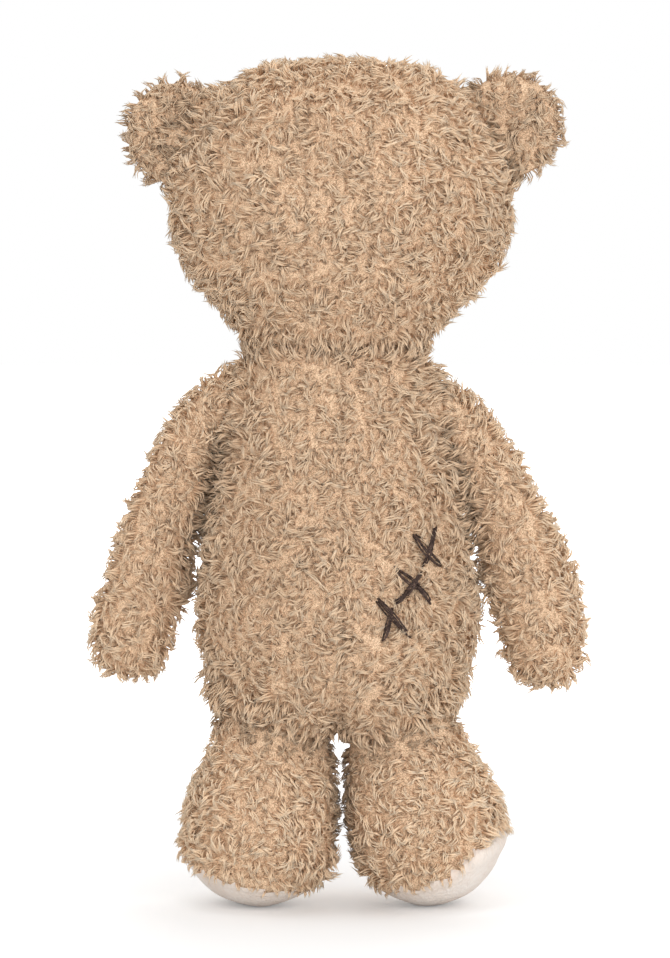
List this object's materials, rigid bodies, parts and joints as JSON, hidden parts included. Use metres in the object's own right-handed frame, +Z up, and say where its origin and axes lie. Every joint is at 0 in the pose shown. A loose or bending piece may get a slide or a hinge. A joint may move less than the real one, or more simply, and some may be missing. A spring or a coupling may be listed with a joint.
{
  "type": "teddy bear",
  "caption": "Stuffed teddy bear of curly beige plush, standing on pale velour soles, its lower back mended with dark yarn cross stitches.",
  "frame": {"origin": "on the floor, under the middle of the bear's bounding box", "axes": "+Z up to the crown of the head, -Y the way the face looks, +X towards the bear's left arm"},
  "size_m": [0.1892, 0.1244, 0.3182],
  "materials": {
    "plush_tan": "shaggy curly pile, warm beige with paler tips",
    "plush_ear": "shaggy curly pile, a little browner",
    "plush_muzzle": "short dense pale pile",
    "velour_sole": "short pale cream-pink velour",
    "stuffing": "white polyester filling, hidden",
    "yarn_dark": "dark brown twisted yarn, slightly fuzzy",
    "thread_nose": "dark brown satin-stitched thread",
    "eye_black": "polished dark brown dome",
    "washer_white": "plain moulded, hidden"
  },
  "bodies": {
    "root": {"head_side_left": "plush_tan", "head_side_right": "plush_tan", "head_gusset": "plush_tan", "body_front": "plush_tan", "body_back_left": "plush_tan", "body_back_right": "plush_tan", "arm_left_outer": "plush_tan", "arm_left_inner": "plush_tan", "arm_right_outer": "plush_tan", "arm_right_inner": "plush_tan", "leg_left_outer": "plush_tan", "leg_left_inner": "plush_tan", "leg_right_outer": "plush_tan", "leg_right_inner": "plush_tan", "ear_left_front": "plush_ear", "ear_left_back": "plush_ear", "ear_right_front": "plush_ear", "ear_right_back": "plush_ear", "muzzle": "plush_muzzle", "sole_left": "velour_sole", "sole_right": "velour_sole", "head_stuffing": "stuffing", "body_stuffing": "stuffing", "arm_left_stuffing": "stuffing", "arm_right_stuffing": "stuffing", "leg_left_stuffing": "stuffing", "leg_right_stuffing": "stuffing", "back_cross_stitch_upper": "yarn_dark", "back_cross_stitch_middle": "yarn_dark", "back_cross_stitch_lower": "yarn_dark", "nose": "thread_nose", "mouth": "thread_nose", "eye_left": "eye_black", "eye_right": "eye_black", "eye_washer_left": "washer_white", "eye_washer_right": "washer_white"}
  },
  "joints": []
}
